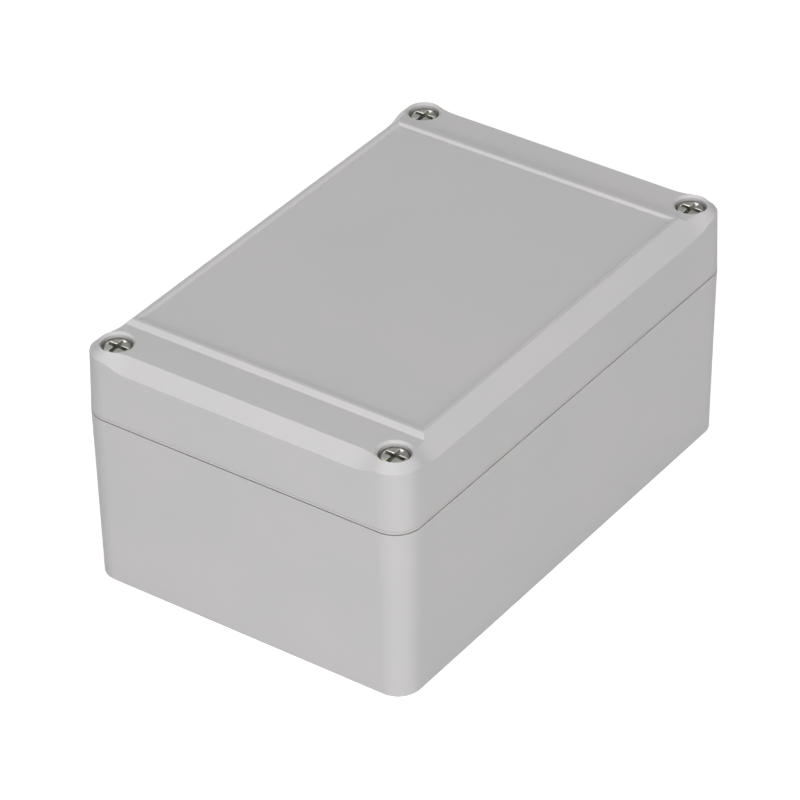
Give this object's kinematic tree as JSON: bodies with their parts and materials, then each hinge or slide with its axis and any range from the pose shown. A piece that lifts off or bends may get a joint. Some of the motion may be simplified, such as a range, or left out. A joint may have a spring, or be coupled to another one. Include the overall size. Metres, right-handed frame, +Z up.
{
  "type": "plastic project box",
  "caption": "Light grey moulded project box with a deep drafted base, a gasketed lid with a framed label recess, and captive cross-recess corner screws in brass inserts.",
  "frame": {"origin": "middle of the underside of the base", "axes": "+X along the box, +Y across it, +Z up from the underside to the lid"},
  "size_m": [0.12, 0.08, 0.0572],
  "materials": {
    "housing": "light grey moulded ABS, fine satin",
    "seal": "foamed black seal cord",
    "screw_steel": "nickel-plated steel",
    "insert_brass": "turned and knurled"
  },
  "bodies": {
    "base": {"base_shell": "housing", "insert_left_front": "insert_brass", "insert_right_front": "insert_brass", "insert_left_rear": "insert_brass", "insert_right_rear": "insert_brass"},
    "lid": {"lid_shell": "housing", "lid_gasket": "seal"},
    "screw_left_front": {"lid_screw_left_front": "screw_steel"},
    "screw_right_front": {"lid_screw_right_front": "screw_steel"},
    "screw_left_rear": {"lid_screw_left_rear": "screw_steel"},
    "screw_right_rear": {"lid_screw_right_rear": "screw_steel"}
  },
  "joints": [
    {"name": "lid_lift", "type": "slide", "parent": "base", "child": "lid", "axis": [0, 0, 1], "range_m": [0, 0.06]},
    {"name": "screw_left_front_rise", "type": "slide", "parent": "lid", "child": "screw_left_front", "axis": [0, 0, 1], "range_m": [0, 0.0072]},
    {"name": "screw_right_front_rise", "type": "slide", "parent": "lid", "child": "screw_right_front", "axis": [0, 0, 1], "range_m": [0, 0.0072]},
    {"name": "screw_left_rear_rise", "type": "slide", "parent": "lid", "child": "screw_left_rear", "axis": [0, 0, 1], "range_m": [0, 0.0072]},
    {"name": "screw_right_rear_rise", "type": "slide", "parent": "lid", "child": "screw_right_rear", "axis": [0, 0, 1], "range_m": [0, 0.0072]}
  ]
}
